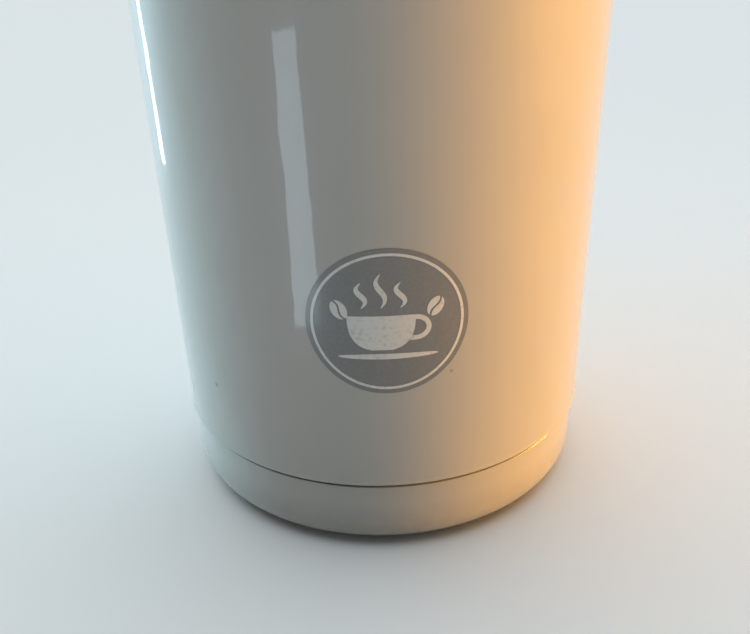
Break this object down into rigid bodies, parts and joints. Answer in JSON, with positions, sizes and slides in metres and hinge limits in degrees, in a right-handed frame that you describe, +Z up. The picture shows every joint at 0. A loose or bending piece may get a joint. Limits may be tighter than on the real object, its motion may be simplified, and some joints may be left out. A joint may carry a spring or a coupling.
{
  "type": "insulated travel mug",
  "caption": "Tapered double-walled steel travel mug with a glossy base cup and a press-in lid with a hinged drinking flap.",
  "frame": {"origin": "centre of the foot pad's underside, on the surface the mug stands on", "axes": "+Z up along the mug's axis; -Y is the printed front and the lid's drinking side; +X is to the right seen from the front"},
  "size_m": [0.0788, 0.0788, 0.1775],
  "materials": {
    "pearl_enamel": "glossy pearl lacquer on steel",
    "pearl_enamel_base": "glossy pearl lacquer",
    "satin_steel": "satin, spun and electropolished stainless steel",
    "sheet_steel": "plain rolled stainless sheet",
    "pin_steel": "ground steel",
    "foil": "bright foil",
    "getter_alloy": "sintered, matt",
    "solder_glass": "fused, glossy",
    "adhesive": "cured silicone adhesive",
    "dark_rubber": "matt moulded silicone rubber",
    "lid_plastic": "satin moulded polypropylene with a fine spark texture",
    "flap_plastic": "semi-gloss moulded polypropylene",
    "clear_silicone": "natural grey-white silicone",
    "foam": "moulded bead foam"
  },
  "bodies": {
    "vessel": {"outer_shell": "pearl_enamel", "inner_liner": "satin_steel", "insulation_foil": "foil", "bottom_disc": "sheet_steel", "vacuum_seal_bead": "solder_glass", "getter_pellet": "getter_alloy", "getter_clip": "sheet_steel", "base_cup": "pearl_enamel_base", "adhesive_ring": "adhesive", "seam_gasket": "dark_rubber", "foot_pad": "dark_rubber"},
    "seal": {"lid_gasket": "clear_silicone"},
    "lid": {"lid_cover": "lid_plastic", "lid_plug": "lid_plastic", "lid_foam": "foam", "sip_tube_oring": "clear_silicone", "vent_tube_oring": "clear_silicone", "hinge_pin": "pin_steel"},
    "flap": {"drinking_flap": "flap_plastic", "sip_stopper": "clear_silicone", "vent_stopper": "clear_silicone"}
  },
  "joints": [
    {"name": "lid_lift", "type": "slide", "parent": "vessel", "child": "seal", "axis": [0, 0, 1], "range_m": [0, 0.07]},
    {"name": "lid_turn", "type": "hinge", "parent": "seal", "child": "lid", "pos_m": [0, 0, 0.145], "axis": [0, 0, 1], "continuous": true},
    {"name": "flap_hinge", "type": "hinge", "parent": "lid", "child": "flap", "pos_m": [0, 0.006, 0.1731], "axis": [-1, 0, 0], "range_deg": [0, 105]}
  ]
}
